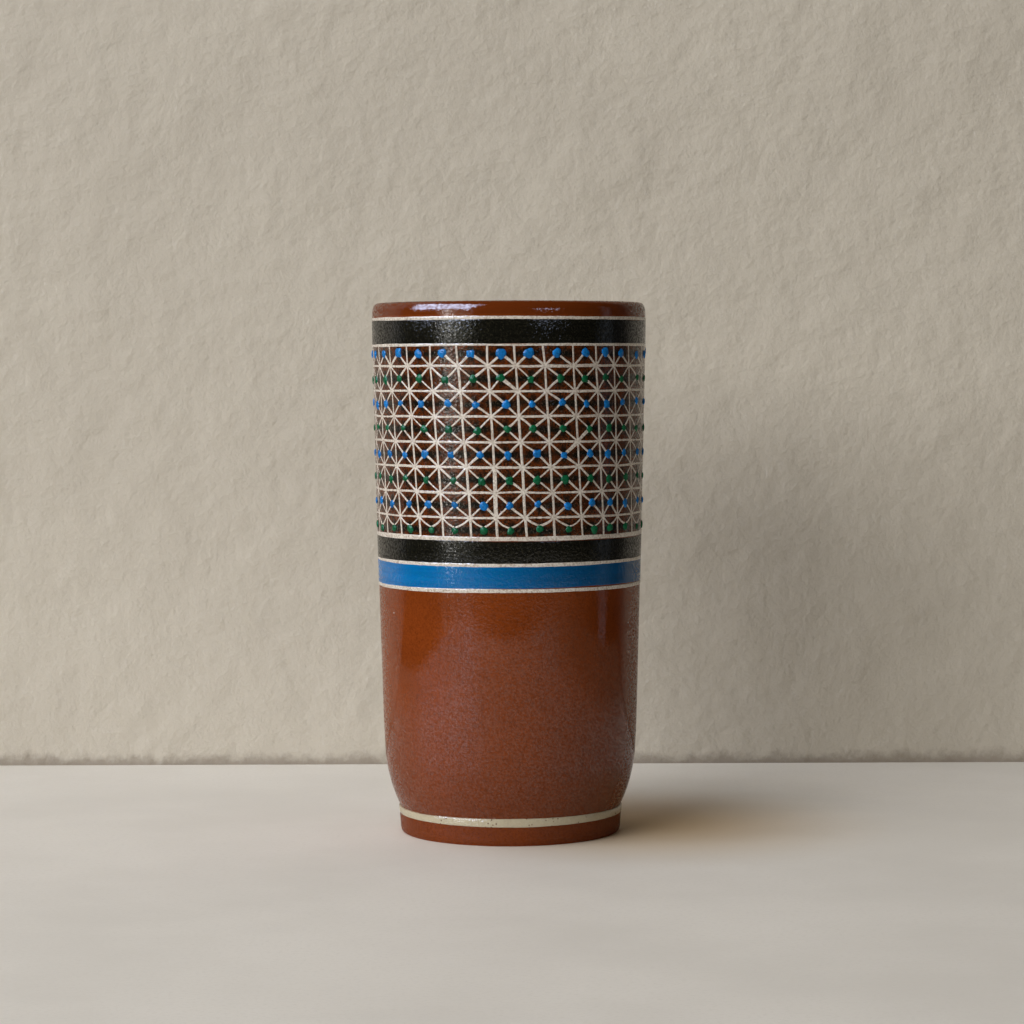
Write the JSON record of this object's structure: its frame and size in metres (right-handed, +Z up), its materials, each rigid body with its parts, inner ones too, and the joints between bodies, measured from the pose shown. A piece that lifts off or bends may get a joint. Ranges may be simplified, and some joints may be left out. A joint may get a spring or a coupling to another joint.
{
  "type": "slip-decorated pottery vase",
  "caption": "Tall round earthenware vase with a rounded lip, a turned foot, painted slip bands and a slip lattice with rows of raised dots.",
  "frame": {"origin": "centre of the foot ring's resting face, on the surface that the vase stands on", "axes": "+Z up along the vase's axis, -Y towards the viewer, +X to the viewer's right"},
  "size_m": [0.1066, 0.1066, 0.203],
  "materials": {
    "terracotta": "red earthenware under a glossy clear glaze",
    "clear_glaze": "glossy clear glaze over red clay",
    "cream_slip": "cream slip line, slightly raised, glossy",
    "black_slip": "black slip, glossy",
    "blue_slip": "cobalt blue slip, glossy",
    "blue_enamel": "raised blue enamel dots on a dark stroke, glossy",
    "green_enamel": "raised green enamel dots on a dark stroke, glossy"
  },
  "bodies": {
    "root": {"foot_ring": "terracotta", "floor_slab": "terracotta", "body_wall": "terracotta", "inside_glaze": "clear_glaze", "foot_line": "cream_slip", "blue_lower_line": "cream_slip", "blue_band": "blue_slip", "black_lower_line": "cream_slip", "lower_black_band": "black_slip", "lattice_bottom_line": "cream_slip", "lattice_top_line": "cream_slip", "upper_black_band": "black_slip", "rim_line": "cream_slip", "lattice_net": "cream_slip", "blue_dot_row_1": "blue_enamel", "green_dot_row_1": "green_enamel", "blue_dot_row_2": "blue_enamel", "green_dot_row_2": "green_enamel", "blue_dot_row_3": "blue_enamel", "green_dot_row_3": "green_enamel", "blue_dot_row_4": "blue_enamel", "green_dot_row_4": "green_enamel"}
  },
  "joints": []
}
